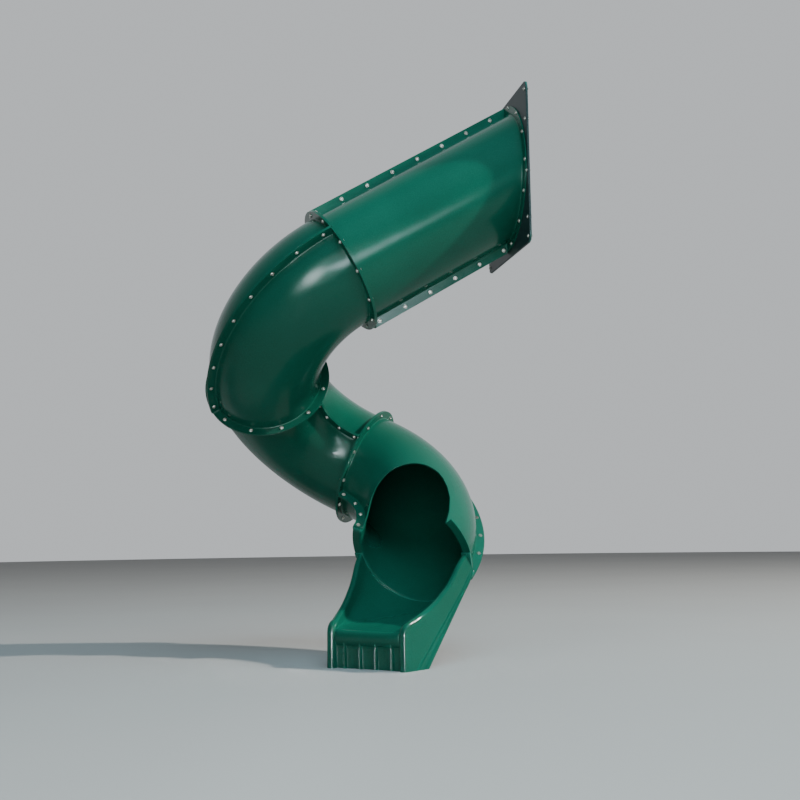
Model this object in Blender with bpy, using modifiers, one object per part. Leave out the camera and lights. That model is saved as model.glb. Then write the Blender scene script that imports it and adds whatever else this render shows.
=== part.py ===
"""Spiral tube slide for a seven foot deck, ground level up.

Ten mouldings of sheet plastic: an entry plate, a straight entry tube and three quarter-turn
elbows, each in two half shells, and an open exit chute. Metres, +Z up.
The origin is on the deck side of the entry plate, in the middle of its lower strip.
The tube runs off towards -X and turns down in quarter turns to a chute on the ground.
"""

import math

import bmesh
import bpy
from mathutils import Matrix, Vector

# The tube and its flanges
TUBE_OUTER = 0.2965
WALL = 0.006
TUBE_INNER = TUBE_OUTER - WALL
FLANGE = 0.007
FILLET = 0.006
RING_RIM = 0.3388
SEAM_LIP = 0.3450
GAP = 0.00015

# The entry plate
PLATE_THICKNESS = 0.012
PLATE_HALF_WIDTH = 0.3533
PLATE_TOP = 0.4148
PLATE_BOTTOM = -0.4327
PLATE_CORNER = 0.030
MOUNT_DROP = 0.392

# The run of the tube
ENTRY_SLOPE = math.radians(30.63)
ENTRY_LENGTH = 1.050
BEND_RADIUS = 0.5442
QUARTER = math.pi / 2
RING_TURNS = (-60.0, 60.0, 60.0)

# The exit chute, measured ahead of and above the end of the tube
GROUND_BELOW_EXIT = -0.538
CHUTE_SHEET = 0.006
BED_HALF_WIDTH = 0.2915
BED_NARROWING = 0.258
ROLL_REAR = 0.015
ROLL_FRONT = 0.020
EXIT_LEAN = math.radians(29.32)
BED_LIP = -0.362
BED_DROP = 0.1094
BED_EASE = 0.195
RIM_TRACK = ((-0.009, -0.016), (0.045, -0.070), (0.085, -0.125), (0.125, -0.170), (0.165, -0.203),
             (0.205, -0.234), (0.26, -0.268), (0.32, -0.294), (0.37, -0.310), (0.398, -0.319))
CORNER_TRACK = ((0.415, -0.327), (0.426, -0.339), (0.432, -0.356))
CORNER_LEANS = (28.0, 55.0, 82.0)
POST_HEIGHTS = (-0.380, -0.403, -0.422, -0.437, GROUND_BELOW_EXIT)
LIP_TRACK = ((0.420, -0.3605), (0.436, -0.367), (0.444, -0.379), (0.440, -0.391), (0.430, -0.401),
             (0.421, -0.416), (0.419, -0.437), (0.419, GROUND_BELOW_EXIT))
PANEL_ROWS = 2
SIDE_REAR = (-0.0548, -0.0976)
SIDE_FOOT = (0.288, GROUND_BELOW_EXIT)
RIB_HEIGHT = 0.008
RIB_COLUMNS = (0.2416, 0.73)
BED_COLUMNS = (0.0, 0.196, 0.2416, 0.287, 0.486, 0.685, 0.73, 0.775, 0.88, 0.96, 1.0)
ROLL_STEPS = 4

# The hood's mouth: degrees round the tube from the outer seam, and degrees along the bend.
# Beside the mouth the hood keeps a piece of its end flange, up to HOOD_FLANGE_END.
HOOD_FLANGE_END = 63
MOUTH_STEP = 0.0018
MOUTH_EDGE = ((63, 86.0), (68, 72.0), (80, 53.0), (92, 48.0), (110, 44.5), (130, 42.5),
              (148, 48.0), (166, 57.0), (174, 76.0), (180, 88.0))

ARC_STEPS = 18
HOOD_ARC_STEPS = 30
BEND_STEPS = 9

GREEN = (0.004, 0.105, 0.075)
PLATE_GREEN = (0.006, 0.060, 0.050)


def clear_scene():
    for old in list(bpy.data.objects):
        bpy.data.objects.remove(old, do_unlink=True)


def plastic(name, colour):
    material = bpy.data.materials.new(name)
    material.use_nodes = True
    shader = material.node_tree.nodes["Principled BSDF"]
    shader.inputs["Base Color"].default_value = (*colour, 1.0)
    shader.inputs["Roughness"].default_value = 0.38
    shader.inputs["Metallic"].default_value = 0.0
    return material


def add_object(name, bm, collection, colour):
    """Close a bmesh into a named object with its own material."""
    bmesh.ops.recalc_face_normals(bm, faces=bm.faces)
    mesh = bpy.data.meshes.new(name)
    bm.to_mesh(mesh)
    bm.free()
    mesh.shade_smooth()
    mesh.set_sharp_from_angle(angle=math.radians(32))
    mesh.materials.append(plastic(name + "_plastic", colour))
    obj = bpy.data.objects.new(name, mesh)
    collection.objects.link(obj)
    return obj


def add_cutter(name, bm, collection):
    bmesh.ops.recalc_face_normals(bm, faces=bm.faces)
    mesh = bpy.data.meshes.new(name)
    bm.to_mesh(mesh)
    bm.free()
    obj = bpy.data.objects.new(name, mesh)
    obj.hide_render = True
    obj.display_type = "WIRE"
    collection.objects.link(obj)
    return obj


def boolean(target, other, operation):
    step = target.modifiers.new(operation.lower() + "_" + other.name, "BOOLEAN")
    step.operation = operation
    step.solver = "EXACT"
    step.object = other


def turn(vector, axis, degrees):
    return Matrix.Rotation(math.radians(degrees), 3, axis) @ vector


def tube_run():
    """The entry frame, then one frame per elbow: start, way in and outer side of its bend."""
    start = Vector((-PLATE_THICKNESS, 0.0, MOUNT_DROP))
    way = Vector((-math.cos(ENTRY_SLOPE), 0.0, -math.sin(ENTRY_SLOPE)))
    outer = Vector((-math.sin(ENTRY_SLOPE), 0.0, math.cos(ENTRY_SLOPE)))
    entry = (start, way, outer)
    point = start + way * ENTRY_LENGTH
    elbows = []
    for degrees in RING_TURNS:
        outer = turn(outer, way, degrees)
        elbows.append((point, way, outer))
        point = point - outer * BEND_RADIUS + way * BEND_RADIUS
        way, outer = -outer, way
    return entry, elbows, (point, way, outer)


def half_section(radius, steps):
    """Half a ring with a seam flange at both ends, as (outward, sideways) points."""
    points = [(SEAM_LIP, GAP), (SEAM_LIP, GAP + FLANGE)]
    first = math.asin((GAP + FLANGE) / radius)
    for i in range(steps + 1):
        angle = first + (math.pi - 2 * first) * i / steps
        points.append((radius * math.cos(angle), radius * math.sin(angle)))
    points.append((-SEAM_LIP, GAP + FLANGE))
    points.append((-SEAM_LIP, GAP))
    first = math.asin(GAP / TUBE_INNER)
    for i in range(steps + 1):
        angle = math.pi - first - (math.pi - 2 * first) * i / steps
        points.append((TUBE_INNER * math.cos(angle), TUBE_INNER * math.sin(angle)))
    return points


def skin(sections):
    """A closed body through like sections: one face, extruded from each section to the next."""
    bm = bmesh.new()
    order = bm.verts.layers.int.new("order")
    ring = []
    for i, place in enumerate(sections[0]):
        corner = bm.verts.new(place)
        corner[order] = i
        ring.append(corner)
    first = bm.faces.new(ring)
    cap = first
    for section in sections[1:]:
        made = bmesh.ops.extrude_face_region(bm, geom=[cap])["geom"]
        if cap is not first:
            bmesh.ops.delete(bm, geom=[cap], context="FACES_ONLY")
        for item in made:
            if isinstance(item, bmesh.types.BMVert):
                item.co = section[item[order]]
        cap = next(item for item in made if isinstance(item, bmesh.types.BMFace))
    return bm


def straight_half(entry, side):
    """One half of the entry tube: an oblique flange on the plate and a square one below."""
    start, way, up = entry
    sideways = Vector((0.0, side, 0.0))
    rim = half_section(RING_RIM, ARC_STEPS)
    tube = half_section(TUBE_OUTER, ARC_STEPS)

    def oblique(points, back):
        section = []
        for q, z in points:
            place = start + up * q + sideways * z
            section.append(place + way * ((-PLATE_THICKNESS - back - place.x) / way.x))
        return section

    def square(points, distance):
        return [start + way * distance + up * q + sideways * z for q, z in points]

    return skin([
        oblique(rim, 2 * GAP),
        oblique(rim, 2 * GAP + FLANGE),
        oblique(tube, 2 * GAP + FLANGE + FILLET),
        square(tube, ENTRY_LENGTH - GAP - FLANGE - FILLET),
        square(rim, ENTRY_LENGTH - GAP - FLANGE),
        square(rim, ENTRY_LENGTH - GAP)])


def bend_section(elbow, side, points, angles):
    """Section points set round the bend, each at its own angle along it."""
    start, way, outer = elbow
    middle = start - outer * BEND_RADIUS
    normal = outer.cross(way) * side
    section = []
    for (q, z), angle in zip(points, angles):
        radial = outer * math.cos(angle) + way * math.sin(angle)
        section.append(middle + radial * (BEND_RADIUS + q) + normal * z)
    return section


def elbow_half(elbow, side):
    """Half of a quarter-turn elbow with a bolting flange at both ends."""
    rim = half_section(RING_RIM, ARC_STEPS)
    tube = half_section(TUBE_OUTER, ARC_STEPS)
    end = GAP / BEND_RADIUS
    flange = end + FLANGE / BEND_RADIUS
    fillet = flange + FILLET / BEND_RADIUS
    sections = []
    for points, angle in ((rim, end), (rim, flange)):
        sections.append(bend_section(elbow, side, points, [angle] * len(points)))
    for i in range(BEND_STEPS + 1):
        angle = fillet + (QUARTER - 2 * fillet) * i / BEND_STEPS
        sections.append(bend_section(elbow, side, tube, [angle] * len(tube)))
    for points, angle in ((rim, QUARTER - flange), (rim, QUARTER - end)):
        sections.append(bend_section(elbow, side, points, [angle] * len(points)))
    return skin(sections)


def mouth_angle(degrees_round):
    """How far along the bend the hood's mouth is at a place round the tube."""
    for (a, low), (b, high) in zip(MOUTH_EDGE, MOUTH_EDGE[1:]):
        if degrees_round <= b:
            return math.radians(low + (high - low) * (degrees_round - a) / (b - a))
    return math.radians(MOUTH_EDGE[-1][1])


def hood_half(elbow, side):
    """The upper half of the last elbow, cut back to the mouth, with flange left beside it."""
    rim = half_section(RING_RIM, HOOD_ARC_STEPS)
    tube = half_section(TUBE_OUTER, HOOD_ARC_STEPS)
    end = GAP / BEND_RADIUS
    flange = end + FLANGE / BEND_RADIUS
    fillet = flange + FILLET / BEND_RADIUS
    sections = []
    for points, angle in ((rim, end), (rim, flange)):
        sections.append(bend_section(elbow, side, points, [angle] * len(points)))
    rounds = [math.degrees(math.atan2(z, q)) for q, z in tube]
    reach = [QUARTER - fillet if a < HOOD_FLANGE_END else mouth_angle(a) for a in rounds]
    for i in range(BEND_STEPS + 1):
        angles = [fillet + (far - fillet) * i / BEND_STEPS for far in reach]
        sections.append(bend_section(elbow, side, tube, angles))
    points = [wide if a < HOOD_FLANGE_END else plain for wide, plain, a in zip(rim, tube, rounds)]
    for step, angle in ((1, QUARTER - flange), (2, QUARTER - end)):
        angles = [angle if a < HOOD_FLANGE_END else far + step * MOUTH_STEP
                  for a, far in zip(rounds, reach)]
        sections.append(bend_section(elbow, side, points, angles))
    return skin(sections)


def entry_plate(collection, cutters, entry):
    """The upright plate between the deck posts, with the slanted hole of the tube."""
    start, way, _ = entry
    bm = bmesh.new()
    bmesh.ops.create_cube(bm, size=1.0)
    size = (PLATE_THICKNESS, 2 * PLATE_HALF_WIDTH, PLATE_TOP - PLATE_BOTTOM)
    bmesh.ops.scale(bm, vec=size, verts=bm.verts)
    middle = MOUNT_DROP + (PLATE_TOP + PLATE_BOTTOM) / 2
    bmesh.ops.translate(bm, vec=(-PLATE_THICKNESS / 2, 0, middle), verts=bm.verts)
    corners = [e for e in bm.edges if abs(e.verts[0].co.x - e.verts[1].co.x) > PLATE_THICKNESS / 2]
    bmesh.ops.bevel(bm, geom=corners, offset=PLATE_CORNER, offset_type="OFFSET", segments=5,
                    profile=0.5, affect="EDGES", material=-1)
    plate = add_object("entry_plate", bm, collection, PLATE_GREEN)
    bm = bmesh.new()
    bmesh.ops.create_cone(bm, cap_ends=True, segments=48, radius1=TUBE_INNER,
                          radius2=TUBE_INNER, depth=0.8)
    turned = way.to_track_quat("Z", "Y").to_matrix().to_4x4()
    bmesh.ops.transform(bm, matrix=Matrix.Translation(start) @ turned, verts=bm.verts)
    boolean(plate, add_cutter("entry_hole", bm, cutters), "DIFFERENCE")


def bed_height(ahead):
    return BED_LIP + BED_DROP * math.exp(-(ahead + 0.142) / BED_EASE)


def side_distance(ahead):
    """How far the outer side walls stand from the middle of the chute."""
    share = ahead / CORNER_TRACK[-1][0]
    roll = ROLL_REAR + (ROLL_FRONT - ROLL_REAR) * share
    return BED_HALF_WIDTH - BED_NARROWING * ahead + 2 * roll


def bed_point(rim, lean):
    """Where a leaning section that starts at the rim meets the bed."""
    down = 0.1
    for _ in range(60):
        ahead = rim[0] - down * math.sin(lean)
        down = (rim[1] - bed_height(ahead)) / math.cos(lean)
    return rim[0] - down * math.sin(lean), rim[1] - down * math.cos(lean)


def chute_stations():
    """The chute from its rear end over the front lip to the ground: rim, lean, bed, boxiness."""
    stations = []
    last = len(RIM_TRACK) - 1
    for i, rim in enumerate(RIM_TRACK):
        lean = EXIT_LEAN * (1 - i / last) ** 1.3
        stations.append((rim, lean, bed_point(rim, lean), 1.0 - 0.55 * i / last))
    front = list(zip(CORNER_TRACK, CORNER_LEANS))
    front += [((CORNER_TRACK[-1][0], height), 90.0) for height in POST_HEIGHTS]
    for (rim, lean), lip in zip(front, LIP_TRACK):
        stations.append((rim, math.radians(lean), lip, 0.45))
    return stations


def between(a, b, share):
    return a[0] + (b[0] - a[0]) * share, a[1] + (b[1] - a[1]) * share


def chute_section(index, stations):
    """One section of the chute from side to side, as (ahead, right, up) points."""
    rim, lean, bed, power = stations[index]
    ribbed = index >= len(stations) - PANEL_ROWS
    half_width = BED_HALF_WIDTH - BED_NARROWING * rim[0]
    roll = (side_distance(rim[0]) - half_width) / 2
    half = []
    for column in BED_COLUMNS:
        drop = (1 - column ** (2 / power)) ** (power / 2) if column < 1.0 else 0.0
        ahead, up = between(rim, bed, drop)
        rib = RIB_HEIGHT if ribbed and column in RIB_COLUMNS else 0.0
        half.append((ahead + rib, half_width * column, up))
    for i in range(1, ROLL_STEPS + 1):
        angle = math.pi * i / ROLL_STEPS
        out = roll * math.sin(angle)
        half.append((rim[0] + out * math.sin(lean), half_width + roll - roll * math.cos(angle),
                     rim[1] + out * math.cos(lean)))
    foot = between(SIDE_REAR, SIDE_FOOT, index / (len(stations) - 1))
    half.append((foot[0], side_distance(foot[0]), foot[1]))
    return [(ahead, -side, up) for ahead, side, up in reversed(half[1:])] + half


def chute_sheet(place):
    """The chute's outer surface, swept from its rear end over the lip to the ground."""
    bm = bmesh.new()
    order = bm.verts.layers.int.new("order")
    stations = chute_stations()
    row = [bm.verts.new(place @ Vector(p)) for p in chute_section(0, stations)]
    edges = [bm.edges.new(pair) for pair in zip(row, row[1:])]
    for i, corner in enumerate(row):
        corner[order] = i
    for index in range(1, len(stations)):
        made = bmesh.ops.extrude_edge_only(bm, edges=edges)["geom"]
        section = chute_section(index, stations)
        corners = [item for item in made if isinstance(item, bmesh.types.BMVert)]
        for corner in corners:
            corner.co = place @ Vector(section[corner[order]])
        edges = [item for item in made if isinstance(item, bmesh.types.BMEdge)
                 and abs(item.verts[0][order] - item.verts[1][order]) == 1
                 and item.verts[0] in corners and item.verts[1] in corners]
    return bm


def rear_flange(end):
    """The lower half ring that bolts the chute to the last flange of the tube."""
    point, way, _ = end
    level = Vector((-way.y, way.x, 0.0)).normalized()
    down = way.cross(level)
    if down.z > 0:
        down = -down
    sections = []
    for distance in (GAP, GAP + FLANGE):
        section = []
        for radius, turns in ((RING_RIM, range(ARC_STEPS + 1)),
                              (TUBE_INNER + 0.003, range(ARC_STEPS, -1, -1))):
            for i in turns:
                angle = math.pi * i / ARC_STEPS
                spoke = level * math.cos(angle) + down * math.sin(angle)
                section.append(point + way * distance + spoke * radius)
        sections.append(section)
    return skin(sections)


def exit_chute(collection, cutters, end):
    """The open chute: one sheet with rolled sides and a ribbed front, and a rear flange."""
    point, way, _ = end
    ahead = Vector((way.x, way.y, 0.0)).normalized()
    right = Vector((0.0, 0.0, 1.0)).cross(ahead)
    place = Matrix((ahead, right, Vector((0, 0, 1)))).transposed().to_4x4()
    place = Matrix.Translation(point + way * 0.005) @ place
    chute = add_object("exit_chute", chute_sheet(place), collection, GREEN)
    sheet = chute.modifiers.new("sheet", "SOLIDIFY")
    sheet.thickness = CHUTE_SHEET
    sheet.offset = -1.0
    sheet.use_even_offset = True
    boolean(chute, add_cutter("rear_flange", rear_flange(end), cutters), "UNION")


def build():
    clear_scene()
    scene = bpy.context.scene
    slide = bpy.data.collections.new("spiral_tube_slide")
    cutters = bpy.data.collections.new("cutters")
    scene.collection.children.link(slide)
    scene.collection.children.link(cutters)
    entry, elbows, end = tube_run()
    entry_plate(slide, cutters, entry)
    add_object("entry_tube_near", straight_half(entry, -1.0), slide, GREEN)
    add_object("entry_tube_far", straight_half(entry, 1.0), slide, GREEN)
    for name, elbow in zip(("first_elbow", "second_elbow"), elbows):
        upper = 1.0 if elbow[2].cross(elbow[1]).z > 0 else -1.0
        add_object(name + "_upper", elbow_half(elbow, upper), slide, GREEN)
        add_object(name + "_lower", elbow_half(elbow, -upper), slide, GREEN)
    add_object("exit_hood", hood_half(elbows[2], -1.0), slide, GREEN)
    add_object("exit_trough", elbow_half(elbows[2], 1.0), slide, GREEN)
    exit_chute(slide, cutters, end)


build()
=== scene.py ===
"""Spiral tube slide in moulded green plastic, on a pale floor in soft studio light.

Each moulding is made again here, finer than in the part: rounded seam and ring flanges, the
hood's curved mouth, the chute's rolled sides, beads and ribs, and every bolt of the seams.
Metres, +Z up, in the part's own frame.
"""

import math

import bmesh
import bpy
from mathutils import Matrix, Vector


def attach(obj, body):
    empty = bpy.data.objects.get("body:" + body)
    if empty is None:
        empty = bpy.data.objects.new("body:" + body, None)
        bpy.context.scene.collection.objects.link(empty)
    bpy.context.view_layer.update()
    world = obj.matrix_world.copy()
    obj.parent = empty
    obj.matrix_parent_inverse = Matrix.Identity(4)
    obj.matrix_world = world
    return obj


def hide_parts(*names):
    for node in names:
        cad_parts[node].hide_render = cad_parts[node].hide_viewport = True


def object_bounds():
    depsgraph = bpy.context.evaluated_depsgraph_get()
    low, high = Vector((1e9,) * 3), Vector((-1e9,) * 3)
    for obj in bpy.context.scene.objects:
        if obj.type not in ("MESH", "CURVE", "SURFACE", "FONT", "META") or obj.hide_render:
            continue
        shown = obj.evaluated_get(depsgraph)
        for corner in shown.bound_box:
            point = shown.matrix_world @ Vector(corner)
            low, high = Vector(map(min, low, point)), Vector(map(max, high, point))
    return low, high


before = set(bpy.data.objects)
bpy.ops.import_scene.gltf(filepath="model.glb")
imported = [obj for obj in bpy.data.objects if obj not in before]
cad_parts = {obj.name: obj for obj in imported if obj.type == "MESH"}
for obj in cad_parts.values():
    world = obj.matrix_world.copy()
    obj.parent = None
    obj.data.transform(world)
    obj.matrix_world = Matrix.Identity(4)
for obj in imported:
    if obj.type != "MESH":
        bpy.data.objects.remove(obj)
CAD_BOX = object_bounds()

# The tube and its flanges
TUBE_OUTER = 0.2965
SHEET = 0.0065
GAP = 0.00015
FACE = GAP + SHEET
RING_RIM = 0.3388
SEAM_LIP = 0.3450
INNER_FILLET = 0.007
LIP_ROUND = 0.0026
AROUND_STEPS = 48
BEND_STEPS = 44
STRAIGHT_STEPS = 30

# How near two places count as one, how near they are welded, and what angle counts as sharp
NEAR = 0.001
WELD = 0.00005
RIM_WELD = 0.0012
SHARP = 50.0

# The run of the tube
PLATE_THICKNESS = 0.012
MOUNT_DROP = 0.392
ENTRY_SLOPE = math.radians(30.63)
ENTRY_LENGTH = 1.050
BEND_RADIUS = 0.5442
QUARTER = math.pi / 2
RING_TURNS = (-60.0, 60.0, 60.0)

# The entry plate
PLATE_HALF_WIDTH = 0.3533
PLATE_TOP = 0.4148
PLATE_BOTTOM = -0.4327
PLATE_CORNER = 0.030
PLATE_EDGE_ROUND = 0.003
PLATE_LOOP = 144

# The hood's mouth: degrees round the tube from the outer seam, and degrees along the bend
HOOD_FLANGE_END = 61.0
MOUTH_EDGE = ((61, 89.0), (64, 82.0), (68, 72.0), (74, 61.0), (80, 54.0), (92, 48.0), (110, 44.3),
              (130, 43.5), (148, 47.5), (160, 54.0), (168, 63.0), (174, 76.0), (180, 88.0))

# Bolts: circle or line they stand on, and their spacing
BOLT_PITCH = 0.1567
RING_BOLT_CIRCLE = 0.3162
SEAM_BOLT_LINE = 0.3230
PLATE_BOLT_CIRCLE = 0.3293
RING_BOLTS = 12
RING_BOLT_STEP = 30.0
UPPER_SEAM_BOLTS = 8
LOWER_SEAM_BOLTS = 6
FIRST_STRAIGHT_BOLT = 0.0440
FIRST_OUTER_BOLT = 0.0556
OUTER_BOLTS = 9
INNER_BOLT_ANGLES = (7.8, 32.6, 57.4, 82.2)
PLATE_RING_ANGLES = (13.9, 41.0, 66.0, 90.0, 114.0, 139.0, 166.1)
PLATE_EDGE_BOLTS = (0.372, 0.214, -0.060, -0.300, -0.400)
PLATE_EDGE_LINE = 0.331

# The forms of a bolt's head, washer and stud, as (radius, height off the flange)
BOLT_HEAD = ((0.0, 0.0), (0.0102, 0.0), (0.0106, 0.0005), (0.0106, 0.0013), (0.0101, 0.0018),
             (0.0088, 0.0019), (0.0086, 0.0032), (0.0076, 0.0048), (0.0058, 0.0060),
             (0.0046, 0.0063), (0.0042, 0.0040), (0.0, 0.0038))
WASHER = ((0.0, 0.0), (0.0102, 0.0), (0.0106, 0.0005), (0.0106, 0.0013), (0.0101, 0.0018),
          (0.0, 0.0018))
STUD = ((0.0, 0.0), (0.0040, 0.0), (0.0040, 0.0070), (0.0033, 0.0077), (0.0, 0.0077))
NUT_RADIUS = 0.0075
NUT_DEPTH = 0.0045
NUT_MIDDLE = 0.0040
NUT_EDGE = 0.0008
BOLT_STEPS = 18
STUD_STEPS = 10
BOLT_TWIST = 0.9
BOLT_SHARP = 35.0

# The exit chute, measured ahead of and above the end of the tube
CHUTE_START = 0.005
CHUTE_SHEET = 0.006
CHUTE_ROUND = 0.0022
GROUND_BELOW_EXIT = -0.538
EXIT_LEAN = math.radians(29.32)

# Its bed, which narrows towards the lip and eases out to level
BED_HALF_WIDTH = 0.2915
BED_NARROWING = 0.258
BED_REAR = -0.142
BED_LIP = -0.362
BED_DROP = 0.1094
BED_EASE = 0.195
BED_ROUNDS = 60

# How its sections change: upright towards the front, and from a round trough to a boxy one
LEAN_FADE = 1.3
REAR_ROUNDNESS = 1.0
FRONT_ROUNDNESS = 0.45

# Its rolled rims, the front corner and the lip, as (ahead, up) points; the corner's leans
ROLL_REAR = 0.015
ROLL_FRONT = 0.020
ROLL_CORNER = 0.58
RIM_TRACK = ((-0.009, -0.016), (0.045, -0.070), (0.085, -0.125), (0.125, -0.170), (0.165, -0.203),
             (0.205, -0.234), (0.26, -0.268), (0.32, -0.298), (0.37, -0.320), (0.398, -0.331))
CORNER_TRACK = ((0.415, -0.340), (0.427, -0.352), (0.432, -0.368))
CORNER_LEANS = (28.0, 55.0, 82.0)
POST_HEIGHTS = (-0.387, -0.406, -0.424, -0.441, GROUND_BELOW_EXIT)
LIP_TRACK = ((0.414, -0.3565), (0.430, -0.3615), (0.441, -0.373), (0.445, -0.390), (0.441, -0.408),
             (0.431, -0.425), (0.422, -0.441), (0.419, GROUND_BELOW_EXIT))

# The lower edge of its side walls, from the rear to the foot
SIDE_REAR = (-0.0548, -0.0976)
SIDE_FOOT = (0.288, GROUND_BELOW_EXIT)

# Ribs and pleats on its front, from the lean that counts as the front
PANEL_LEAN = 1.4
RIB_SIDES = (0.0435, 0.1305)
RIB_HALF_WIDTH = 0.0095
RIB_RIDGE = 0.0045
RIB_DIP = 0.30
RIB_HEIGHT = 0.012
RIB_TOP = -0.420
RIB_FULL = -0.446
PLEAT_DEPTH = 0.0070
POST_PLEAT = 0.3

# Beads and grooves on its side walls, which fan out towards the foot
BEAD_LINES = (0.029, 0.067)
BEAD_HEIGHT = 0.0054
BEAD_HALF_WIDTH = 0.0052
GROOVE_STEP = 1.6
WALL_HOLLOW = 0.0020
FAN_REAR = 0.25
FAN_LEAST = 0.40

# Where its sheet is divided: along it, round the roll, across the bed, and down the walls
STATION_STEPS = 4
PANEL_STEPS = 10
ROLL_STEPS = 16
WALL_STEPS = 6
BED_MARKS = (0.0, 0.08, 0.16, 0.37, 0.44, 0.49, 0.54, 0.61, 0.80, 0.84, 0.88, 0.915, 0.94, 0.965,
             0.985, 1.0)
RIB_MARKS = (0.0, 0.0015, 0.0030, 0.0045, 0.0058, 0.0070, 0.0082, 0.0095)
WALL_MARKS = (0.0, 0.010, 0.048, 0.082)
BEAD_MARKS = (-2.6, -2.2, -1.9, -1.6, -1.3, -1.0, -0.8, -0.6, -0.3, 0.0, 0.3, 0.6, 0.8, 1.0, 1.2)

# The camera, as the photograph was taken
CAMERA_PLACE = Vector((-1.7547, -5.331, -1.4943))
CAMERA_RIGHT = Vector((0.97801, -0.20814, -0.01294))
CAMERA_UP = Vector((-0.01354, -0.12531, 0.99203))
CAMERA_LENS = 48.41

# The plastics: deep and bright colour, and roughness; then what shows over them
GREEN_PLASTIC = ((0.0012, 0.072, 0.044, 1.0), (0.0018, 0.090, 0.056, 1.0), 0.145)
# The plate's two colours are painted shade and painted sky reflection: a dark blue-grey put in place
# of the green plastic, whose face lies in shade
PLATE_PAINTED_SHADE = ((0.015, 0.024, 0.028, 1.0), (0.022, 0.033, 0.037, 1.0), 0.34)
SPECKLE = (0.03, 0.26, 0.19, 1.0)
SCUFF = (0.10, 0.30, 0.25, 1.0)
PALE_EDGE = (0.03, 0.30, 0.22, 1.0)
PLASTIC_GLOSS = 0.22

# Zinc and floor, each in two shades
CLEAN_ZINC = (0.62, 0.60, 0.55, 1.0)
DULL_ZINC = (0.42, 0.40, 0.36, 1.0)
PALE_FLOOR = (0.31, 0.31, 0.305, 1.0)
DIM_FLOOR = (0.29, 0.29, 0.29, 1.0)

# The studio: a round floor, and a pale wall on one side of a dim room
FLOOR_RADIUS = 30.0
WALL_SIDE = (0.25, 0.96, 0.10)
WALL_FADE = (-0.1, 0.75)
WALL_LIGHT = 0.62
ROOM_LIGHT = 0.11
WALL_COLOUR = (0.93, 0.97, 1.0, 1.0)

# Lamps: name, place, aim, size, power, beam in degrees, colour, if it fills, and if it shines
LAMPS = (
    ("key", (13.3, -4.65, 9.4), (-0.75, 0.2, -0.7), (0.8, 0.8), 5600.0, 180,
     (1.0, 0.96, 0.89), True, False),
    ("top", (0.0, -3.8, 6.2), (-0.75, 0.2, -0.7), (7.0, 7.0), 680.0, 180,
     (0.50, 0.84, 1.0), True, False),
    ("fill", (-1.6, -4.8, 0.4), (-0.9, 0.1, -0.5), (3.2, 3.2), 82.0, 180,
     (0.86, 0.98, 1.0), True, True),
    ("front", (-2.65, -4.6, -0.05), (-1.3, -0.05, -0.35), (2.4, 2.2), 10.0, 28,
     (0.86, 0.95, 1.0), False, True),
    ("strip", (-0.05, -5.3, 0.45), (-0.6, 0.0, 0.3), (3.6, 0.9), 9.5, 36,
     (0.76, 0.91, 1.0), False, True),
    ("glint", (12.84, -4.79, 7.70), (-0.62, -0.2, -1.85), (0.8, 0.8), 9.0, 4,
     (1.0, 0.98, 0.94), False, True),
    ("low", (-2.2, -4.9, -1.85), (-0.85, -0.2, -1.95), (0.4, 0.8), 16.0, 17,
     (0.85, 0.96, 1.0), False, True),
)


# The run of the tube and its mouldings


def turn(vector, axis, degrees):
    """A direction turned round an axis."""
    return Matrix.Rotation(math.radians(degrees), 3, axis) @ vector


def aimed_at(place, axis):
    """The place of a thing made along +Z that is to stand along an axis."""
    return Matrix.Translation(place) @ axis.to_track_quat("Z", "Y").to_matrix().to_4x4()


def tube_run():
    """The entry frame, then one frame per elbow: start, way in and outer side of its bend."""
    start = Vector((-PLATE_THICKNESS, 0.0, MOUNT_DROP))
    way = Vector((-math.cos(ENTRY_SLOPE), 0.0, -math.sin(ENTRY_SLOPE)))
    outer = Vector((-math.sin(ENTRY_SLOPE), 0.0, math.cos(ENTRY_SLOPE)))
    entry = (start, way, outer)
    point = start + way * ENTRY_LENGTH
    elbows = []
    for degrees in RING_TURNS:
        outer = turn(outer, way, degrees)
        elbows.append((point, way, outer))
        point = point - outer * BEND_RADIUS + way * BEND_RADIUS
        way, outer = -outer, way
    return entry, elbows, (point, way, outer)


def place_of(section):
    """Where a moulding made along +Y, with its outer side on +X, goes on the slide."""
    start, way, outer = section
    turned = Matrix((outer, way, outer.cross(way))).transposed().to_4x4()
    return Matrix.Translation(start) @ turned


def finish_piece(name, bm, material, replaces=()):
    """Turn a bmesh into a piece of the slide, which is all one body."""
    mesh = bpy.data.meshes.new(name)
    bm.to_mesh(mesh)
    bm.free()
    mesh.shade_smooth()
    mesh.materials.append(material)
    piece = bpy.data.objects.new(name, mesh)
    bpy.context.scene.collection.objects.link(piece)
    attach(piece, "root")
    if replaces:
        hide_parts(*replaces)
    return piece


def thicken(piece, thickness=SHEET, rounding=LIP_ROUND):
    """Give a sheet its thickness, inward, and round its lips."""
    solid = piece.modifiers.new("sheet", "SOLIDIFY")
    solid.thickness = thickness
    solid.offset = -1.0
    solid.use_even_offset = True
    round_edges(piece, rounding)


def round_edges(piece, rounding):
    """Round the sharp edges, and keep the flat faces beside them flat."""
    rounded = piece.modifiers.new("edges", "BEVEL")
    rounded.width = rounding
    rounded.segments = 3
    rounded.limit_method = "ANGLE"
    rounded.angle_limit = math.radians(SHARP)
    shading = piece.modifiers.new("shading", "WEIGHTED_NORMAL")
    shading.keep_sharp = True


def face_outward(bm, inside):
    """Turn the faces of an open sheet so that they look away from the tube's middle."""
    bmesh.ops.recalc_face_normals(bm, faces=bm.faces)
    bm.faces.ensure_lookup_table()
    face = bm.faces[len(bm.faces) // 2]
    if face.normal.dot(face.calc_center_median() - inside(face)) < 0:
        bmesh.ops.reverse_faces(bm, faces=bm.faces)


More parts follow.
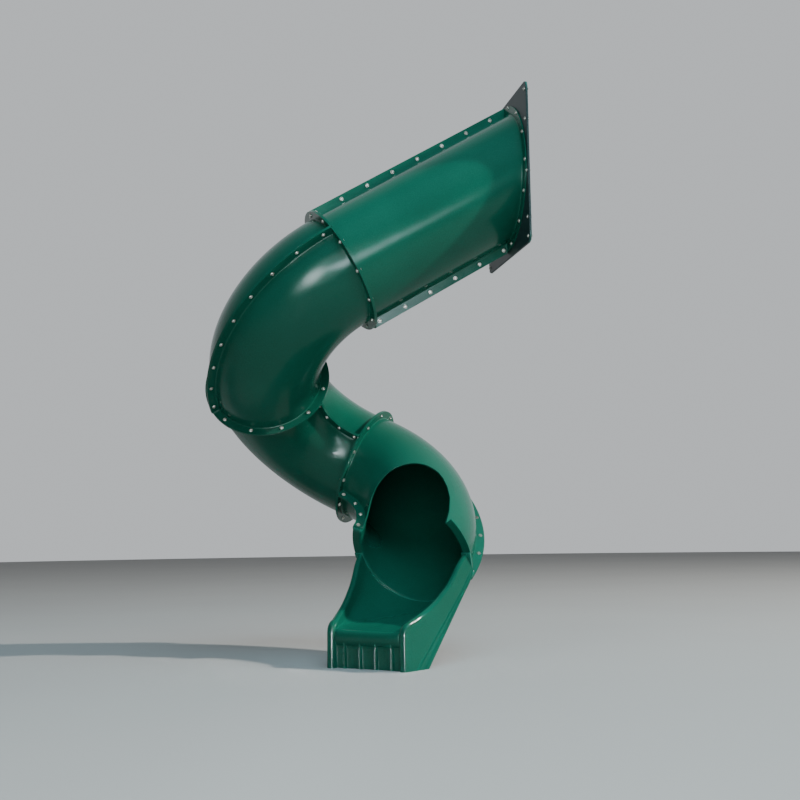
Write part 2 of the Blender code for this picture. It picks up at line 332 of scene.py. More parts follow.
def half_outline(bm):
    """The outer line of half a tube with a seam flange at both ends; x outward, z sideways."""
    first_angle = math.asin(FACE / TUBE_OUTER)
    first = bm.verts.new((TUBE_OUTER * math.cos(first_angle), 0.0, FACE))
    spun = bmesh.ops.spin(bm, geom=[first], cent=(0, 0, 0), axis=(0, -1, 0), dvec=(0, 0, 0),
                          angle=math.pi - 2 * first_angle, steps=AROUND_STEPS)
    last = next(item for item in spun["geom_last"] if isinstance(item, bmesh.types.BMVert))
    for corner in (first, last):
        for reach in (RING_RIM, SEAM_LIP):
            made = bmesh.ops.extrude_vert_indiv(bm, verts=[corner])
            corner = made["verts"][0]
            corner.co.x = math.copysign(reach, corner.co.x)
            corner.co.z = FACE


def sweep_outline(bm, angle, dvec, steps):
    """Sweep the outline along its tube; returns the first and the last row of vertices."""
    first_row = list(bm.verts)
    spun = bmesh.ops.spin(bm, geom=bm.verts[:] + bm.edges[:], cent=(-BEND_RADIUS, 0, 0),
                          axis=(0, 0, 1), dvec=dvec, angle=angle, steps=steps)
    last_row = [item for item in spun["geom_last"] if isinstance(item, bmesh.types.BMVert)]
    return first_row, last_row


def turn_out_ring(bm, row, on_tube, rim_place):
    """Turn the end of a half tube outward into a bolting flange."""
    row = set(row)
    edges = [e for e in bm.edges if e.is_boundary and all(v in row and on_tube(v) for v in e.verts)]
    made = bmesh.ops.extrude_edge_only(bm, edges=edges)["geom"]
    for item in made:
        if isinstance(item, bmesh.types.BMVert):
            item.co = rim_place(item.co)


def fillet_corners(bm):
    """Join the rim flanges to the seam flanges and round the inside corners."""
    bmesh.ops.remove_doubles(bm, verts=bm.verts, dist=RIM_WELD)
    bmesh.ops.recalc_face_normals(bm, faces=bm.faces)
    sharp = [e for e in bm.edges
             if len(e.link_faces) == 2 and e.calc_face_angle() > math.radians(SHARP)]
    bmesh.ops.bevel(bm, geom=sharp, offset=INNER_FILLET, offset_type="OFFSET", segments=3,
                    profile=0.5, affect="EDGES", material=-1, clamp_overlap=True)


def bend_polar(place):
    """Distance from the bend's axis and angle round it."""
    ahead = place.x + BEND_RADIUS
    return math.hypot(ahead, place.y), math.atan2(place.y, ahead)


def bend_middle(angle):
    """The middle of the tube at an angle round the bend."""
    return Vector((BEND_RADIUS * (math.cos(angle) - 1), BEND_RADIUS * math.sin(angle), 0.0))


def smooth_track(track, share):
    """A point on a smooth curve through a list of places, at a share of its length."""
    span = share * (len(track) - 1)
    index = min(int(span), len(track) - 2)
    rest = span - index
    before = track[max(index - 1, 0)]
    a, b = track[index], track[index + 1]
    after = track[min(index + 2, len(track) - 1)]
    point = []
    for p0, p1, p2, p3 in zip(before, a, b, after):
        slope_a, slope_b = (p2 - p0) / 2, (p3 - p1) / 2
        square, cube = rest * rest, rest * rest * rest
        point.append((2 * cube - 3 * square + 1) * p1 + (cube - 2 * square + rest) * slope_a
                     + (3 * square - 2 * cube) * p2 + (cube - square) * slope_b)
    return point


def mouth_angle(degrees_round):
    """How far along the bend the hood's mouth is at a place round the tube."""
    last = len(MOUTH_EDGE) - 1
    for index, ((a, _), (b, _)) in enumerate(zip(MOUTH_EDGE, MOUTH_EDGE[1:])):
        if degrees_round <= b:
            share = (index + (degrees_round - a) / (b - a)) / last
            return math.radians(smooth_track(MOUTH_EDGE, share)[1])
    return math.radians(MOUTH_EDGE[-1][1])


def bent_half(mouth=False):
    """Half of a quarter-turn elbow as a sheet, with its flanges; with a mouth cut for the hood."""
    bm = bmesh.new()
    half_outline(bm)
    first_row, last_row = sweep_outline(bm, QUARTER, (0, 0, 0), BEND_STEPS)
    for v in bm.verts:
        away, angle = bend_polar(v.co)
        low = math.asin(FACE / away)
        high = QUARTER - low
        degrees_round = math.degrees(math.atan2(v.co.z, away - BEND_RADIUS))
        if mouth and degrees_round > HOOD_FLANGE_END:
            high = min(high, mouth_angle(degrees_round))
        angle = low + (high - low) * angle / QUARTER
        v.co = Vector((away * math.cos(angle) - BEND_RADIUS, away * math.sin(angle), v.co.z))

    def on_tube(v):
        away, _ = bend_polar(v.co)
        return abs(math.hypot(away - BEND_RADIUS, v.co.z) - TUBE_OUTER) < NEAR

    def by_the_mouth(v):
        away, _ = bend_polar(v.co)
        degrees_round = math.degrees(math.atan2(v.co.z, away - BEND_RADIUS))
        return on_tube(v) and not (mouth and degrees_round > HOOD_FLANGE_END)

    def rim_at(angle):
        middle = bend_middle(angle)

        def rim_place(place):
            out = middle + (place - middle) * RING_RIM / TUBE_OUTER
            side = FACE if abs(place.z - FACE) < NEAR else out.z
            flat = FACE if angle == 0.0 else out.y
            across = out.x if angle == 0.0 else FACE - BEND_RADIUS
            return Vector((across, flat, side))
        return rim_place

    turn_out_ring(bm, first_row, on_tube, rim_at(0.0))
    turn_out_ring(bm, last_row, by_the_mouth, rim_at(QUARTER))
    fillet_corners(bm)
    face_outward(bm, lambda face: bend_middle(bend_polar(face.calc_center_median())[1]))
    return bm


def straight_half():
    """Half of the entry tube: an oblique flange on the plate and a square one below."""
    bm = bmesh.new()
    half_outline(bm)
    step = ENTRY_LENGTH / STRAIGHT_STEPS
    first_row, last_row = sweep_outline(bm, 0.0, (0, step, 0), STRAIGHT_STEPS)

    def plate_end(across):
        return (GAP + FACE - math.sin(ENTRY_SLOPE) * across) / math.cos(ENTRY_SLOPE)

    for v in bm.verts:
        low = plate_end(v.co.x)
        v.co.y = low + (ENTRY_LENGTH - FACE - low) * v.co.y / ENTRY_LENGTH

    def on_tube(v):
        return abs(math.hypot(v.co.x, v.co.z) - TUBE_OUTER) < NEAR

    def rim_place(square):
        def place_rim(place):
            out = place * RING_RIM / TUBE_OUTER
            side = FACE if abs(place.z - FACE) < NEAR else out.z
            return Vector((out.x, place.y if square else plate_end(out.x), side))
        return place_rim

    turn_out_ring(bm, first_row, on_tube, rim_place(False))
    turn_out_ring(bm, last_row, on_tube, rim_place(True))
    fillet_corners(bm)
    face_outward(bm, lambda face: Vector((0, face.calc_center_median().y, 0)))
    return bm


def put_half(bm, section, side):
    """Move a half made on the +Z side to its own side of its section of the slide."""
    if side < 0:
        bmesh.ops.scale(bm, vec=(1, 1, -1), verts=bm.verts)
        bmesh.ops.reverse_faces(bm, faces=bm.faces)
    bmesh.ops.transform(bm, matrix=place_of(section), verts=bm.verts)
    return bm


# Making the entry plate


def plate_outline(angle):
    """The rounded rectangle of the plate in the direction of an angle, as (y, z)."""
    middle = (PLATE_TOP + PLATE_BOTTOM) / 2
    half_height = (PLATE_TOP - PLATE_BOTTOM) / 2
    across, up = math.cos(angle), math.sin(angle)
    reach = 1.0 / max(abs(across) / PLATE_HALF_WIDTH, abs(up) / half_height)
    y, z = reach * across, reach * up
    inner_y = max(abs(y) - (PLATE_HALF_WIDTH - PLATE_CORNER), 0.0)
    inner_z = max(abs(z) - (half_height - PLATE_CORNER), 0.0)
    if inner_y > 0 and inner_z > 0:
        pull = PLATE_CORNER / math.hypot(inner_y, inner_z)
        y = math.copysign(PLATE_HALF_WIDTH - PLATE_CORNER + inner_y * pull, y)
        z = math.copysign(half_height - PLATE_CORNER + inner_z * pull, z)
    return y, MOUNT_DROP + middle + z


def plate_hole(angle, x):
    """The tube's slanted hole in the direction of an angle, at a depth of the plate, as (y, z)."""
    inner = TUBE_OUTER - SHEET
    shift = (x + PLATE_THICKNESS) * math.tan(ENTRY_SLOPE)
    up = inner * math.sin(angle) / math.cos(ENTRY_SLOPE)
    return inner * math.cos(angle), MOUNT_DROP + shift + up


def entry_plate():
    """The upright plate: one loop round the hole, drawn out over both faces and back."""
    bm = bmesh.new()
    order = bm.verts.layers.int.new("order")
    loop = bmesh.ops.create_circle(bm, segments=PLATE_LOOP, radius=1.0)["verts"]
    for i, corner in enumerate(loop):
        corner[order] = i
        corner.co = Vector((-PLATE_THICKNESS, *plate_hole(2 * math.pi * i / PLATE_LOOP,
                                                          -PLATE_THICKNESS)))
    edges = list(bm.edges)
    shapes = (lambda a: Vector((-PLATE_THICKNESS, *plate_outline(a))),
              lambda a: Vector((0.0, *plate_outline(a))),
              lambda a: Vector((0.0, *plate_hole(a, 0.0))),
              lambda a: Vector((-PLATE_THICKNESS, *plate_hole(a, -PLATE_THICKNESS))))
    for shape in shapes:
        made = bmesh.ops.extrude_edge_only(bm, edges=edges)["geom"]
        corners = {item for item in made if isinstance(item, bmesh.types.BMVert)}
        for corner in corners:
            corner.co = shape(2 * math.pi * corner[order] / PLATE_LOOP)
        edges = [item for item in made if isinstance(item, bmesh.types.BMEdge)
                 and item.verts[0] in corners and item.verts[1] in corners]
    bmesh.ops.remove_doubles(bm, verts=bm.verts, dist=WELD)
    bmesh.ops.recalc_face_normals(bm, faces=bm.faces)
    return bm


# Making the exit chute


def bed_height(ahead):
    """The bed's height in the middle of the chute, which eases out towards the lip."""
    return BED_LIP + BED_DROP * math.exp((BED_REAR - ahead) / BED_EASE)


def side_distance(ahead):
    """How far the outer side walls stand from the middle of the chute."""
    share = ahead / CORNER_TRACK[-1][0]
    roll = ROLL_REAR + (ROLL_FRONT - ROLL_REAR) * share
    return BED_HALF_WIDTH - BED_NARROWING * ahead + 2 * roll


def bed_point(rim, lean):
    """Where a leaning section that starts at the rim meets the bed."""
    down = 0.0
    for _ in range(BED_ROUNDS):
        ahead = rim[0] - down * math.sin(lean)
        down = (rim[1] - bed_height(ahead)) / math.cos(lean)
    return rim[0] - down * math.sin(lean), rim[1] - down * math.cos(lean)


def chute_stations():
    """The chute from its rear end over the lip to the ground, as its sections' main points."""
    coarse = []
    last = len(RIM_TRACK) - 1
    for i, rim in enumerate(RIM_TRACK):
        lean = EXIT_LEAN * (1 - i / last) ** LEAN_FADE
        roundness = REAR_ROUNDNESS + (FRONT_ROUNDNESS - REAR_ROUNDNESS) * i / last
        coarse.append((*rim, lean, *bed_point(rim, lean), roundness))
    front = list(zip(CORNER_TRACK, CORNER_LEANS))
    front += [((CORNER_TRACK[-1][0], height), 90.0) for height in POST_HEIGHTS]
    for (rim, lean), lip in zip(front, LIP_TRACK):
        coarse.append((*rim, math.radians(lean), *lip, FRONT_ROUNDNESS))
    spans = len(coarse) - 1
    shares = [i / spans / STATION_STEPS for i in range((spans - 1) * STATION_STEPS)]
    shares += [(spans - 1 + i / PANEL_STEPS) / spans for i in range(PANEL_STEPS + 1)]
    stations = []
    for share in shares:
        rim_ahead, rim_up, lean, bed_ahead, bed_up, roundness = smooth_track(coarse, share)
        foot = between(SIDE_REAR, SIDE_FOOT, share)
        stations.append(((rim_ahead, rim_up), lean, (bed_ahead, bed_up), roundness, foot))
    return stations


def between(a, b, share):
    """The place at a share of the way from one pair to another."""
    return a[0] + (b[0] - a[0]) * share, a[1] + (b[1] - a[1]) * share


def bump(distance, half_width):
    """A rounded hump of height one."""
    if abs(distance) >= half_width:
        return 0.0
    return 0.5 + 0.5 * math.cos(math.pi * distance / half_width)


def bed_columns():
    """Shares of the half width that the sheet's columns follow, closer together at the ribs."""
    front_half = BED_HALF_WIDTH - BED_NARROWING * CORNER_TRACK[-1][0]
    marks = set(BED_MARKS)
    for middle in RIB_SIDES:
        for step in RIB_MARKS:
            marks.add(round((middle + step) / front_half, 4))
            marks.add(round((middle - step) / front_half, 4))
    return sorted(marks)


def panel_relief(side, up):
    """How far the chute's front stands out at a place: twin-ridged ribs on a pleated panel."""
    full = min(max((RIB_TOP - up) / (RIB_TOP - RIB_FULL), 0.0), 1.0)
    away = min(abs(side - middle) for middle in RIB_SIDES)
    ridge = RIB_RIDGE * full
    shoulder = bump(away - ridge, RIB_HALF_WIDTH - RIB_RIDGE) if away > ridge else 1.0
    dip = RIB_DIP * bump(away, ridge) if full > 0.0 else 0.0
    pleat = min(away / RIB_SIDES[0], 1.0) if side < RIB_SIDES[1] else POST_PLEAT
    return RIB_HEIGHT * math.sqrt(full) * (shoulder - dip) - PLEAT_DEPTH * full * pleat


def wall_columns():
    """Distances from the side wall's lower rear edge that its columns follow at the foot."""
    marks = set(WALL_MARKS)
    for line in BEAD_LINES:
        marks.update(line + step * BEAD_HALF_WIDTH for step in BEAD_MARKS)
    return sorted(marks, reverse=True)


def wall_relief(distance):
    """How far the side wall stands out near its lower rear edge: two beads, each by a groove."""
    relief = -WALL_HOLLOW * bump(distance - sum(BEAD_LINES) / 2, BEAD_LINES[1] - BEAD_LINES[0])
    for line in BEAD_LINES:
        relief += BEAD_HEIGHT * bump(distance - line, BEAD_HALF_WIDTH)
        groove = line - GROOVE_STEP * BEAD_HALF_WIDTH
        relief -= BEAD_HEIGHT * bump(distance - groove, BEAD_HALF_WIDTH)
    return relief


def roll_point(angle):
    """A point of the rolled rim, half a circle inside and a tighter corner outside, as shares."""
    across, out = -math.cos(angle), math.sin(angle)
    if across <= 0.0:
        return across, out
    return across ** ROLL_CORNER, out ** ROLL_CORNER


def chute_section(station, share, columns):
    """One section of the chute from side to side, as (ahead, right, up) points."""
    rim, lean, bed, roundness, foot = station
    half_width = BED_HALF_WIDTH - BED_NARROWING * rim[0]
    roll = (side_distance(rim[0]) - half_width) / 2
    half = []
    for column in columns:
        drop = (1 - column ** (2 / roundness)) ** (roundness / 2) if column < 1.0 else 0.0
        ahead, up = between(rim, bed, drop)
        half.append([ahead, half_width * column, up])
    for i in range(1, ROLL_STEPS + 1):
        across, out = roll_point(math.pi * i / ROLL_STEPS)
        half.append([rim[0] + roll * out * math.sin(lean), half_width + roll + roll * across,
                     rim[1] + roll * out * math.cos(lean)])
    edge = Vector((SIDE_FOOT[0] - SIDE_REAR[0], SIDE_FOOT[1] - SIDE_REAR[1])).normalized()
    top = half[-1]
    height = abs((top[0] - foot[0]) * edge.y - (top[2] - foot[1]) * edge.x)
    fan = max(FAN_LEAST, FAN_REAR + (1 - FAN_REAR) * share)
    steps = [column * fan for column in wall_columns()]
    distances = [height - (height - steps[0]) * i / WALL_STEPS for i in range(1, WALL_STEPS)]
    for distance in distances + steps:
        ahead, up = between(foot, (top[0], top[2]), distance / height)
        half.append([ahead, side_distance(ahead) + wall_relief(distance / fan) * fan, up])
    return half


def chute_sheet():
    """The chute's outer surface, swept from its rear end over the lip to the ground."""
    bm = bmesh.new()
    order = bm.verts.layers.int.new("order")
    stations = chute_stations()
    columns = bed_columns()
    sections = []
    for index, station in enumerate(stations):
        half = chute_section(station, index / (len(stations) - 1), columns)
        for point in half[:len(columns)]:
            if station[1] > PANEL_LEAN:
                point[0] += panel_relief(point[1], point[2])
        sections.append([(a, -s, u) for a, s, u in reversed(half[1:])] + half)
    row = [bm.verts.new(p) for p in sections[0]]
    edges = [bm.edges.new(pair) for pair in zip(row, row[1:])]
    for i, corner in enumerate(row):
        corner[order] = i
    for section in sections[1:]:
        made = bmesh.ops.extrude_edge_only(bm, edges=edges)["geom"]
        corners = {item for item in made if isinstance(item, bmesh.types.BMVert)}
        for corner in corners:
            corner.co = section[corner[order]]
        edges = [item for item in made if isinstance(item, bmesh.types.BMEdge)
                 and item.verts[0] in corners and item.verts[1] in corners]
    bmesh.ops.recalc_face_normals(bm, faces=bm.faces)
    return bm


def chute_place(end):
    """Where the chute's own frame, ahead, right and up, stands at the end of the tube."""
    point, way, _ = end
    ahead = Vector((way.x, way.y, 0.0)).normalized()
    right = Vector((0.0, 0.0, 1.0)).cross(ahead)
    turned = Matrix((ahead, right, Vector((0, 0, 1)))).transposed().to_4x4()
    return Matrix.Translation(point + way * CHUTE_START) @ turned


def chute_flange(end):
    """The lower half ring that bolts the chute to the last flange of the tube."""
    point, way, _ = end
    level = Vector((-way.y, way.x, 0.0)).normalized()
    if way.cross(level).z > 0:
        level = -level
    bm = bmesh.new()
    start = point + way * GAP
    row = [bm.verts.new(start + level * radius) for radius in (TUBE_OUTER - SHEET, RING_RIM)]
    row += [bm.verts.new(v.co + way * SHEET) for v in reversed(row)]
    face = bm.faces.new(row)
    bmesh.ops.spin(bm, geom=[face], cent=start, axis=way, dvec=(0, 0, 0), angle=math.pi,
                   steps=AROUND_STEPS)
    bmesh.ops.recalc_face_normals(bm, faces=bm.faces)
    return bm


# Making the bolts


def lathe(bm, profile, side, steps):
    """A turned form on one side of the flanges, from (radius, height) pairs off their face."""
    row = [bm.verts.new((radius, 0.0, side * (FACE + height))) for radius, height in profile]
    edges = [bm.edges.new(pair) for pair in zip(row, row[1:])]
    before = set(bm.verts) - set(row)
    bmesh.ops.spin(bm, geom=row + edges, cent=(0, 0, 0), axis=(0, 0, 1), dvec=(0, 0, 0),
                   angle=2 * math.pi, steps=steps, use_merge=True)
    made = [v for v in bm.verts if v not in before]
    bmesh.ops.remove_doubles(bm, verts=made, dist=WELD)


def bolt_form():
    """A bolt along Z through two flanges that meet at height 0: domed head above, nut below."""
    bm = bmesh.new()
    lathe(bm, BOLT_HEAD, 1.0, BOLT_STEPS)
    lathe(bm, WASHER, -1.0, BOLT_STEPS)
    nut = bmesh.ops.create_cone(bm, cap_ends=True, segments=6, radius1=NUT_RADIUS,
                                radius2=NUT_RADIUS, depth=NUT_DEPTH)["verts"]
    bmesh.ops.translate(bm, vec=(0, 0, -FACE - NUT_MIDDLE), verts=nut)
    rims = {e for v in nut for e in v.link_edges if abs(e.verts[0].co.z - e.verts[1].co.z) < NEAR}
    bmesh.ops.bevel(bm, geom=list(rims), offset=NUT_EDGE, offset_type="OFFSET", segments=1,
                    profile=0.5, affect="EDGES", material=-1)
    lathe(bm, STUD, -1.0, STUD_STEPS)
    bmesh.ops.recalc_face_normals(bm, faces=bm.faces)
    form = bpy.data.meshes.new("bolt_form")
    bm.to_mesh(form)
    bm.free()
    return form


def add_bolts(name, places, form, material):
    """One piece with a bolt at each (point, axis), each twisted a little against the last."""
    bm = bmesh.new()
    for count, (point, axis) in enumerate(places):
        have = len(bm.verts)
        bm.from_mesh(form)
        bm.verts.ensure_lookup_table()
        twisted = Matrix.Rotation(BOLT_TWIST * count, 4, "Z")
        bmesh.ops.transform(bm, matrix=aimed_at(point, axis) @ twisted, verts=bm.verts[have:])
    piece = finish_piece(name, bm, material)
    piece.data.set_sharp_from_angle(angle=math.radians(BOLT_SHARP))


def ring_bolts(section, side, first=0, count=RING_BOLTS):
    """Bolts round the ring at the start of a section, heads on the given side along the way."""
    point, way, outer = section
    places = []
    for i in range(first, first + count):
        spoke = turn(outer, way, RING_BOLT_STEP * (i + 0.5))
        places.append((point + spoke * RING_BOLT_CIRCLE, way * side))
    return places


def bend_seam_bolts(section, side):
    """Bolts along the outer and inner seams of an elbow."""
    start, way, outer = section
    middle = start - outer * BEND_RADIUS
    axis = outer.cross(way) * side
    places = []
    outer_radius = BEND_RADIUS + SEAM_BOLT_LINE
    for k in range(OUTER_BOLTS):
        angle = (FIRST_OUTER_BOLT + BOLT_PITCH * k) / outer_radius
        radial = outer * math.cos(angle) + way * math.sin(angle)
        places.append((middle + radial * outer_radius, axis))
    for degrees in INNER_BOLT_ANGLES:
        angle = math.radians(degrees)
        radial = outer * math.cos(angle) + way * math.sin(angle)
        places.append((middle + radial * (BEND_RADIUS - SEAM_BOLT_LINE), axis))
    return places


def entry_seam_bolts(entry):
    """Bolts along the upper and lower seams of the entry tube, heads on the near side."""
    start, way, up = entry
    lower_end = start + way * ENTRY_LENGTH
    places = []
    for side, count in ((1.0, UPPER_SEAM_BOLTS), (-1.0, LOWER_SEAM_BOLTS)):
        for k in range(count):
            back = FIRST_STRAIGHT_BOLT + BOLT_PITCH * k
            place = lower_end - way * back + up * side * SEAM_BOLT_LINE
            places.append((place, Vector((0, -1, 0))))
    return places


def plate_ring_bolts():
    """Bolts of the tube's flange on the plate, heads on the tube's side."""
    places = []
    middle = Vector((-PLATE_THICKNESS - GAP, 0.0, MOUNT_DROP))
    for degrees in PLATE_RING_ANGLES:
        angle = math.radians(degrees)
        for side in (-1, 1):
            y = side * PLATE_BOLT_CIRCLE * math.sin(angle)
            z = PLATE_BOLT_CIRCLE * math.cos(angle) / math.cos(ENTRY_SLOPE)
            places.append((middle + Vector((0, y, z)), Vector((-1, 0, 0))))
    return places


def plate_edge_bolts():
    """Bolts along the plate's two upright edges, which hold it to the deck."""
    places = []
    for side in (-1, 1):
        for up in PLATE_EDGE_BOLTS:
            places.append((Vector((-PLATE_THICKNESS + FACE, side * PLATE_EDGE_LINE, MOUNT_DROP + up)),
                           Vector((-1, 0, 0))))
    return places


# Finishes


class Value:
    """A shader socket that plain arithmetic works on."""

    def __init__(self, nodes, socket):
        self.nodes = nodes
        self.socket = socket

    def _math(self, operation, other):
        return self.nodes.add("ShaderNodeMath", {"operation": operation}, {0: self, 1: other})

    def __add__(self, other):
        return self._math("ADD", other)

    __radd__ = __add__

    def __mul__(self, other):
        return self._math("MULTIPLY", other)

    __rmul__ = __mul__

    def spread(self, low, high):
        """From 0 at a low value to 1 at a high one, and no further."""
        return self.nodes.add("ShaderNodeMapRange", {"clamp": True},
                              {"Value": self, "From Min": low, "From Max": high})


class Nodes:
    """The nodes of one finish, or of the studio's world."""

    def __init__(self, owner):
        owner.use_nodes = True
        self.tree = owner.node_tree

    def feed(self, socket, value):
        """Link a value to a socket, or set the socket to a plain one."""
        if isinstance(value, Value):
            self.tree.links.new(value.socket, socket)
        else:
            socket.default_value = value

    def add(self, kind, settings, sockets, output=0):
        """A node of a kind, with its settings and what its sockets take."""
        made = self.tree.nodes.new(kind)
        for name, value in settings.items():
            setattr(made, name, value)
        for key, value in sockets.items():
            self.feed(made.inputs[key], value)
        return Value(self, made.outputs[output])


class Finish(Nodes):
    """One procedural material."""

    def __init__(self, name):
        self.material = bpy.data.materials.new(name)
        super().__init__(self.material)
        self.shader = self.tree.nodes["Principled BSDF"]

    def give(self, socket, value):
        """Feed one of the shader's own sockets."""
        self.feed(self.shader.inputs[socket], value)

    def place(self, scale=(1, 1, 1), turned=(0, 0, 0)):
        """Object coordinates, stretched and turned."""
        coordinates = self.add("ShaderNodeTexCoord", {}, {}, "Object")
        return self.add("ShaderNodeMapping", {}, {"Vector": coordinates, "Scale": scale,
                                                  "Rotation": turned})

    def noise(self, place, scale, detail, roughness=0.5):
        """Soft clouds of a scale."""
        return self.add("ShaderNodeTexNoise", {}, {"Vector": place, "Scale": scale,
                                                   "Detail": detail, "Roughness": roughness})

    def mix(self, amount, one, other):
        """One colour, and the other where the amount is 1."""
        return self.add("ShaderNodeMix", {"data_type": "RGBA"}, {0: amount, 6: one, 7: other}, 2)

    def bump(self, height, strength, distance, under=None):
        """Relief in the gloss, over what is under it."""
        sockets = {"Height": height, "Strength": strength, "Distance": distance}
        if under is not None:
            sockets["Normal"] = under
        return self.add("ShaderNodeBump", {}, sockets)

    def edges(self):
        """How far the surface is a convex edge, where handling and weather show first."""
        return self.add("ShaderNodeNewGeometry", {}, {}, "Pointiness")


def moulded_plastic(name, deep, bright, shine):
    """Moulded polyethylene: faint waves and orange peel, cloudy colour, scuffs and pale edges."""
    finish = Finish(name)
    place = finish.place()
    cloud = finish.noise(place, scale=2.6, detail=3.0)
    speckle = finish.noise(place, scale=190.0, detail=2.0, roughness=0.6)
    streaks = finish.place(scale=(5.0, 5.0, 38.0), turned=(0.5, 0.7, 0.2))
    scuffs = finish.noise(streaks, scale=3.4, detail=6.0, roughness=0.68).spread(0.60, 0.78)
    patches = finish.noise(place, scale=4.3, detail=4.0, roughness=0.6).spread(0.46, 0.72)
    scratched = scuffs * patches
    edges = finish.edges().spread(0.53, 0.60)
    body = finish.mix(cloud.spread(0.30, 0.70), deep, bright)
    body = finish.mix(speckle.spread(0.35, 0.75) * 0.10, body, SPECKLE)
    body = finish.mix(scratched * 0.16, body, SCUFF)
    body = finish.mix(edges * 0.35, body, PALE_EDGE)
    finish.give("Base Color", body)
    finish.give("Roughness", shine + scratched * 0.14 + speckle * 0.05 + cloud * 0.05)
    waves = finish.noise(place, scale=5.5, detail=2.0, roughness=0.4)
    peel = finish.noise(place, scale=260.0, detail=2.0)
    relief = finish.bump(waves, strength=0.35, distance=0.006)
    relief = finish.bump(peel, strength=0.10, distance=0.0006, under=relief)
    finish.give("Normal", relief)
    finish.give("Specular IOR Level", PLASTIC_GLOSS)
    return finish.material


def zinc_steel():
    """Plated steel bolts, dulled by weather."""
    finish = Finish("zinc_plated_steel")
    place = finish.place()
    cloud = finish.noise(place, scale=60.0, detail=3.0)
    spots = finish.noise(place, scale=420.0, detail=3.0, roughness=0.6)
    finish.give("Base Color", finish.mix(cloud.spread(0.35, 0.7), CLEAN_ZINC, DULL_ZINC))
    finish.give("Roughness", 0.30 + spots * 0.22)
    finish.give("Metallic", 0.9)
    return finish.material


def pale_floor():
    """A plain matt floor with a faint cloud in it."""
    finish = Finish("pale_floor")
    cloud = finish.noise(finish.place(), scale=0.7, detail=3.0)
    finish.give("Base Color", finish.mix(cloud, PALE_FLOOR, DIM_FLOOR))
    finish.give("Roughness", 0.75 + cloud * 0.1)
    return finish.material


# The studio


def add_floor(level):
    """A wide round floor that belongs to the studio."""
    bm = bmesh.new()
    bmesh.ops.create_circle(bm, cap_ends=True, segments=96, radius=FLOOR_RADIUS)
    bmesh.ops.translate(bm, vec=(0, 0, level), verts=bm.verts)
    mesh = bpy.data.meshes.new("floor")
    bm.to_mesh(mesh)
    bm.free()
    mesh.materials.append(pale_floor())
    floor = bpy.data.objects.new("floor", mesh)
    bpy.context.scene.collection.objects.link(floor)


def add_lamp(name, place, aim, size, power, beam, colour, fills, shines):
    """A soft lamp aimed at a point; it fills the shadows, shines in the gloss, or both."""
    light = bpy.data.lights.new(name, "AREA")
    light.shape = "ELLIPSE"
    light.size, light.size_y = size
    light.energy = power
    light.spread = math.radians(beam)
    light.color = colour
    lamp = bpy.data.objects.new(name, light)
    bpy.context.scene.collection.objects.link(lamp)
    lamp.visible_diffuse = fills
    lamp.visible_glossy = shines
    lamp.matrix_world = aimed_at(place, Vector(place) - Vector(aim))


def add_world():
    """A pale studio wall behind the slide that fades to a dim room in front of it."""
    world = bpy.data.worlds.new("studio")
    bpy.context.scene.world = world
    nodes = Nodes(world)
    way = nodes.add("ShaderNodeTexCoord", {}, {}, "Generated")
    facing = nodes.add("ShaderNodeVectorMath", {"operation": "DOT_PRODUCT"},
                       {0: way, 1: WALL_SIDE}, "Value")
    light = nodes.add("ShaderNodeMapRange", {"interpolation_type": "SMOOTHSTEP"},
                      {"Value": facing, "From Min": WALL_FADE[0], "From Max": WALL_FADE[1],
                       "To Min": ROOM_LIGHT, "To Max": WALL_LIGHT})
    background = world.node_tree.nodes["Background"]
    nodes.feed(background.inputs["Strength"], light)
    nodes.feed(background.inputs["Color"], WALL_COLOUR)


def add_camera():
    """The camera at the photograph's place, for a square picture."""
    camera = bpy.data.cameras.new("camera")
    camera.lens = CAMERA_LENS
    camera.sensor_width = 36.0
    view = bpy.data.objects.new("camera", camera)
    bpy.context.scene.collection.objects.link(view)
    back = CAMERA_RIGHT.cross(CAMERA_UP)
    turned = Matrix((CAMERA_RIGHT, CAMERA_UP, back)).transposed().to_4x4()
    view.matrix_world = Matrix.Translation(CAMERA_PLACE) @ turned
    bpy.context.scene.camera = view


# The slide


def side_facing(section, axis):
    """Which side of a section, 1 or -1, looks along a world axis."""
    _, way, outer = section
    return 1.0 if outer.cross(way)[axis] > 0 else -1.0


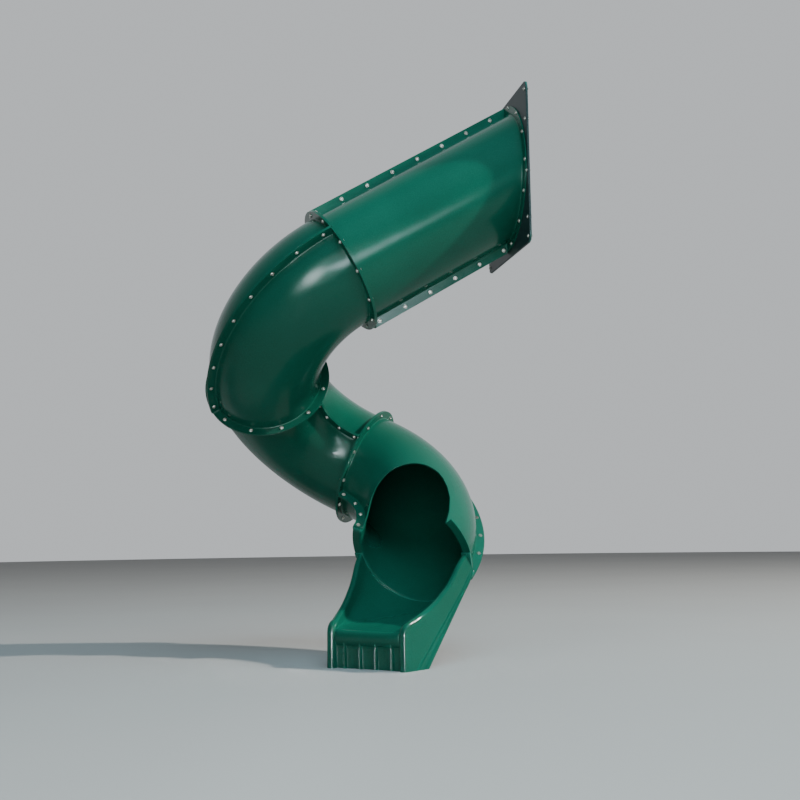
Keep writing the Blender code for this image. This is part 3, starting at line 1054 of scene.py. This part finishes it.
def build_tube(entry, elbows, green):
    """The entry tube's halves and the three elbows' halves."""
    far = side_facing(entry, 1)
    for name, side in (("entry_tube_near", -far), ("entry_tube_far", far)):
        bm = put_half(straight_half(), entry, side)
        thicken(finish_piece(name + "_moulding", bm, green, replaces=[name]))
    for name, elbow in zip(("first_elbow", "second_elbow"), elbows):
        upper = side_facing(elbow, 2)
        for part, side in (("upper", upper), ("lower", -upper)):
            bm = put_half(bent_half(), elbow, side)
            piece = f"{name}_{part}"
            thicken(finish_piece(piece + "_moulding", bm, green, replaces=[piece]))
    trough = put_half(bent_half(), elbows[2], 1.0)
    thicken(finish_piece("exit_trough_moulding", trough, green, replaces=["exit_trough"]))
    hood = put_half(bent_half(mouth=True), elbows[2], -1.0)
    thicken(finish_piece("exit_hood_moulding", hood, green, replaces=["exit_hood"]))


def build_chute(end, green):
    """The chute's sheet and the half ring that bolts it to the tube."""
    sheet = chute_sheet()
    bmesh.ops.transform(sheet, matrix=chute_place(end), verts=sheet.verts)
    piece = finish_piece("exit_chute_moulding", sheet, green, replaces=["exit_chute"])
    thicken(piece, CHUTE_SHEET, CHUTE_ROUND)
    flange = finish_piece("exit_chute_flange", chute_flange(end), green)
    flange.data.set_sharp_from_angle(angle=math.radians(SHARP))


def build_bolts(entry, elbows, end):
    """Every bolt of the slide: one piece for each seam and each ring."""
    form = bolt_form()
    steel = zinc_steel()
    add_bolts("entry_seam_bolts", entry_seam_bolts(entry), form, steel)
    add_bolts("plate_ring_bolts", plate_ring_bolts(), form, steel)
    add_bolts("plate_edge_bolts", plate_edge_bolts(), form, steel)
    names = ("first", "second", "third")
    for name, elbow, side in zip(names, elbows, (1, -1, 1)):
        add_bolts(name + "_ring_bolts", ring_bolts(elbow, side), form, steel)
    for name, elbow, side in zip(("first_elbow", "second_elbow", "exit_elbow"), elbows, (1, 1, -1)):
        add_bolts(name + "_seam_bolts", bend_seam_bolts(elbow, side), form, steel)
    add_bolts("exit_ring_bolts", ring_bolts(end, 1, first=8, count=4), form, steel)
    bpy.data.meshes.remove(form)


def build():
    """The studio, the finishes and the slide."""
    entry, elbows, end = tube_run()
    add_camera()
    add_world()
    for lamp in LAMPS:
        add_lamp(*lamp)
    add_floor(CAD_BOX[0][2])
    green = moulded_plastic("moulded_green_plastic", *GREEN_PLASTIC)
    # The plate's finish carries painted shade and painted sky reflection in its dark blue-grey
    # colours
    plate_painted_shade = moulded_plastic("plate_plastic_painted_shade", *PLATE_PAINTED_SHADE)
    plate = finish_piece("entry_plate_moulding", entry_plate(), plate_painted_shade,
                         replaces=["entry_plate"])
    round_edges(plate, PLATE_EDGE_ROUND)
    build_tube(entry, elbows, green)
    build_chute(end, green)
    build_bolts(entry, elbows, end)


build()
